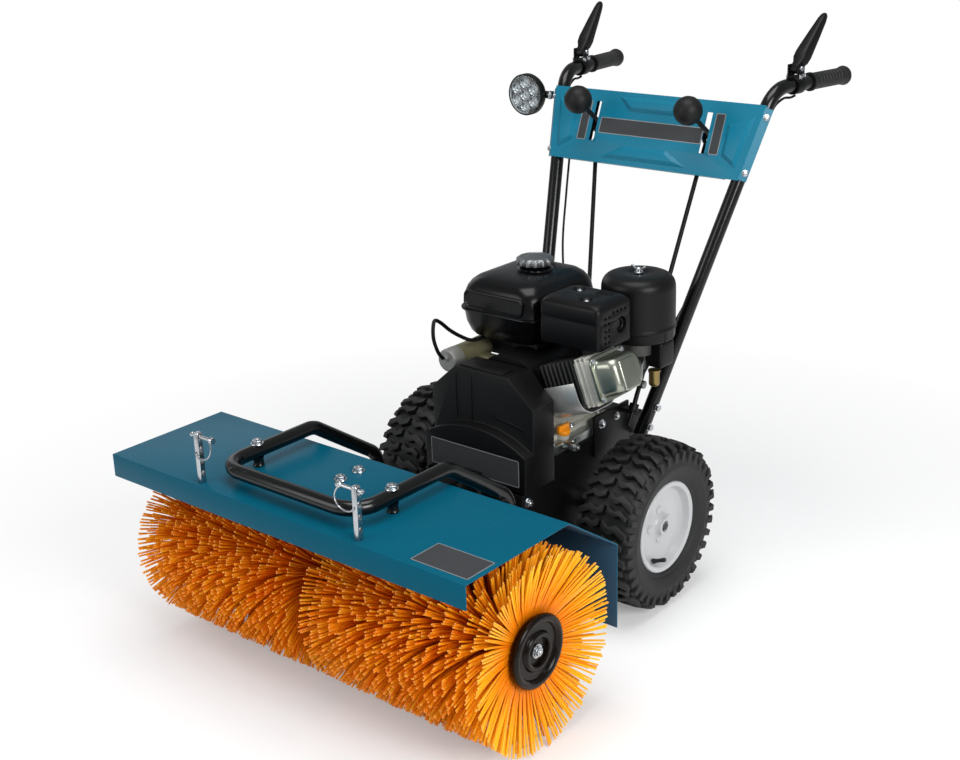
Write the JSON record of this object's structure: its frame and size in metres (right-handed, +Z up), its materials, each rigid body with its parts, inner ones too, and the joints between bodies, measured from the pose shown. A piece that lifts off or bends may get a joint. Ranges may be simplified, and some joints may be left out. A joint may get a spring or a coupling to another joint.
{
  "type": "power brush sweeper",
  "caption": "Walk-behind petrol sweeper with a wide spinning brush under a steel hood, two lugged wheels, steering handles, clutch levers and a control panel.",
  "frame": {"origin": "on the floor, under the middle of the machine's length and width", "axes": "+Z up, +Y towards the operator's grips, the brush at -Y, +X across the machine to the side of the air cleaner"},
  "size_m": [0.846, 1.4032, 1.0644],
  "materials": {
    "teal_paint": "gloss",
    "panel_paint": "gloss",
    "black_paint": "satin",
    "white_paint": "gloss",
    "black_plastic": "satin",
    "knob_plastic": "gloss",
    "bristle_plastic": "satin",
    "cap_plastic": "satin",
    "lens_glass": "gloss",
    "grip_rubber": "matte",
    "tyre_rubber": "matte",
    "belt_rubber": "matte",
    "zinc_steel": "satin",
    "machined_steel": "satin",
    "cast_aluminium": "matte",
    "bright_aluminium": "satin",
    "dark_iron": "matte",
    "bronze": "satin",
    "bright_chrome": "gloss"
  },
  "bodies": {
    "chassis": {"chassis_frame": "black_paint", "axle_bearings": "machined_steel", "engine_bed": "zinc_steel", "belt_cover": "black_paint", "handles": "black_paint", "handle_fasteners": "zinc_steel", "control_panel": "panel_paint", "grips": "grip_rubber", "lever_brackets": "black_paint", "lamp_bracket": "bright_chrome", "clutch_cables": "black_plastic", "starter_cable": "black_plastic", "crankcase": "cast_aluminium", "engine_barrel": "dark_iron", "cylinder_head": "cast_aluminium", "valve_cover": "bright_aluminium", "muffler": "cast_aluminium", "muffler_shield": "black_paint", "fuel_tank": "black_plastic", "carburettor": "cast_aluminium", "air_cleaner": "black_plastic", "recoil_cover": "black_paint", "starter_motor": "zinc_steel", "oil_dipstick": "cap_plastic", "engine_fasteners": "zinc_steel", "brush_belt": "belt_rubber", "traction_belt": "belt_rubber"},
    "brush_head": {"hood": "teal_paint", "guard_tube": "black_paint", "gearbox_housing": "dark_iron", "swivel_yoke": "black_paint", "hood_bolts": "zinc_steel", "accessory_posts": "zinc_steel"},
    "brush": {"brush_shaft": "machined_steel", "brush_drums": "black_paint", "bristles_left": "bristle_plastic", "bristles_right": "bristle_plastic", "end_plates": "black_paint", "worm_wheel": "bronze"},
    "worm": {"worm_shaft": "machined_steel"},
    "input": {"input_shaft": "machined_steel"},
    "crank": {"crankshaft": "machined_steel"},
    "disc": {"friction_disc": "machined_steel"},
    "hex": {"hex_shaft": "machined_steel"},
    "axle": {"drive_axle": "machined_steel", "tyres": "tyre_rubber", "rims": "white_paint"},
    "speed_lever": {"speed_lever": "knob_plastic"},
    "speed_rod": {"speed_rod": "black_paint"},
    "angle_lever": {"angle_lever": "knob_plastic"},
    "angle_rod": {"angle_rod": "black_paint"},
    "clutch_left": {"clutch_lever_left": "black_plastic"},
    "clutch_right": {"clutch_lever_right": "black_plastic"},
    "headlight": {"headlight": "black_plastic", "headlight_lens": "lens_glass"},
    "fuel_cap": {"fuel_cap": "bright_chrome"},
    "recoil_grip": {"recoil_grip": "black_plastic"},
    "throttle": {"throttle_lever": "machined_steel"},
    "pin_left": {"hitch_pin_left": "zinc_steel"},
    "pin_right": {"hitch_pin_right": "zinc_steel"}
  },
  "joints": [
    {"name": "head_swivel", "type": "hinge", "parent": "chassis", "child": "brush_head", "pos_m": [0, -0.2435, 0.229], "axis": [0, 0, 1], "range_deg": [-15, 15]},
    {"name": "brush_spin", "type": "hinge", "parent": "brush_head", "child": "brush", "pos_m": [0, -0.5015, 0.175], "axis": [1, 0, 0], "continuous": true},
    {"name": "worm_spin", "type": "hinge", "parent": "brush_head", "child": "worm", "pos_m": [0, -0.5015, 0.229], "axis": [0, 1, 0], "continuous": true},
    {"name": "input_spin", "type": "hinge", "parent": "chassis", "child": "input", "pos_m": [0, -0.1785, 0.229], "axis": [0, 1, 0], "continuous": true},
    {"name": "axle_spin", "type": "hinge", "parent": "chassis", "child": "axle", "pos_m": [0, 0.0215, 0.165], "axis": [1, 0, 0], "continuous": true},
    {"name": "hex_spin", "type": "hinge", "parent": "chassis", "child": "hex", "pos_m": [0, 0.0606, 0.229], "axis": [1, 0, 0], "continuous": true},
    {"name": "disc_spin", "type": "hinge", "parent": "chassis", "child": "disc", "pos_m": [0, -0.0385, 0.229], "axis": [0, 1, 0], "continuous": true},
    {"name": "crank_spin", "type": "hinge", "parent": "chassis", "child": "crank", "pos_m": [0, 0.0215, 0.395], "axis": [0, 1, 0], "continuous": true},
    {"name": "angle_lever_turn", "type": "hinge", "parent": "chassis", "child": "angle_lever", "pos_m": [0.138, 0.4765, 0.795], "axis": [1, 0, 0], "range_deg": [-15.5, 15.5]},
    {"name": "angle_rod_slide", "type": "slide", "parent": "chassis", "child": "angle_rod", "axis": [0.047, -0.5234, -0.8508], "range_m": [-0.0155, 0.0155]},
    {"name": "speed_lever_turn", "type": "hinge", "parent": "chassis", "child": "speed_lever", "pos_m": [-0.138, 0.4765, 0.795], "axis": [1, 0, 0], "range_deg": [-15, 15]},
    {"name": "speed_rod_slide", "type": "slide", "parent": "chassis", "child": "speed_rod", "axis": [0.2203, -0.3967, -0.8911], "range_m": [-0.0155, 0.0155]},
    {"name": "clutch_left_press", "type": "hinge", "parent": "chassis", "child": "clutch_left", "pos_m": [-0.263, 0.5309, 0.9631], "axis": [-0.9921, -0.1251, 0], "range_deg": [0, 42], "stiffness_Nm_per_rad": 3, "springref_deg": -20.05},
    {"name": "clutch_right_press", "type": "hinge", "parent": "chassis", "child": "clutch_right", "pos_m": [0.263, 0.5309, 0.9631], "axis": [-0.9921, 0.1251, 0], "range_deg": [0, 42], "stiffness_Nm_per_rad": 3, "springref_deg": -20.05},
    {"name": "headlight_tilt", "type": "hinge", "parent": "chassis", "child": "headlight", "pos_m": [-0.275, 0.4275, 0.882], "axis": [1, 0, 0], "range_deg": [-20, 30]},
    {"name": "fuel_cap_turn", "type": "hinge", "parent": "chassis", "child": "fuel_cap", "pos_m": [-0.045, 0.0715, 0.62], "axis": [0, 0, 1], "range_deg": [0, 90]},
    {"name": "recoil_pull", "type": "slide", "parent": "chassis", "child": "recoil_grip", "axis": [-0.9397, 0, 0.342], "range_m": [0, 0.08], "stiffness_N_per_m": 60, "springref_m": -0.1},
    {"name": "throttle_turn", "type": "hinge", "parent": "chassis", "child": "throttle", "pos_m": [0.1789, 0.1135, 0.448], "axis": [1, 0, 0], "range_deg": [-20, 20]},
    {"name": "pin_left_pull", "type": "slide", "parent": "brush_head", "child": "pin_left", "axis": [1, 0, 0], "range_m": [0, 0.03]},
    {"name": "pin_right_pull", "type": "slide", "parent": "brush_head", "child": "pin_right", "axis": [-1, 0, 0], "range_m": [0, 0.03]}
  ],
  "couplings": [
    {"joint": "worm_spin", "follows": "brush_spin", "ratio": -10},
    {"joint": "input_spin", "follows": "brush_spin", "ratio": -10},
    {"joint": "hex_spin", "follows": "axle_spin", "ratio": -3.2857},
    {"joint": "angle_lever_turn", "follows": "head_swivel", "ratio": 1},
    {"joint": "angle_rod_slide", "follows": "head_swivel", "m_per_rad": 0.05421},
    {"joint": "speed_rod_slide", "follows": "speed_lever_turn", "m_per_rad": 0.05189}
  ]
}
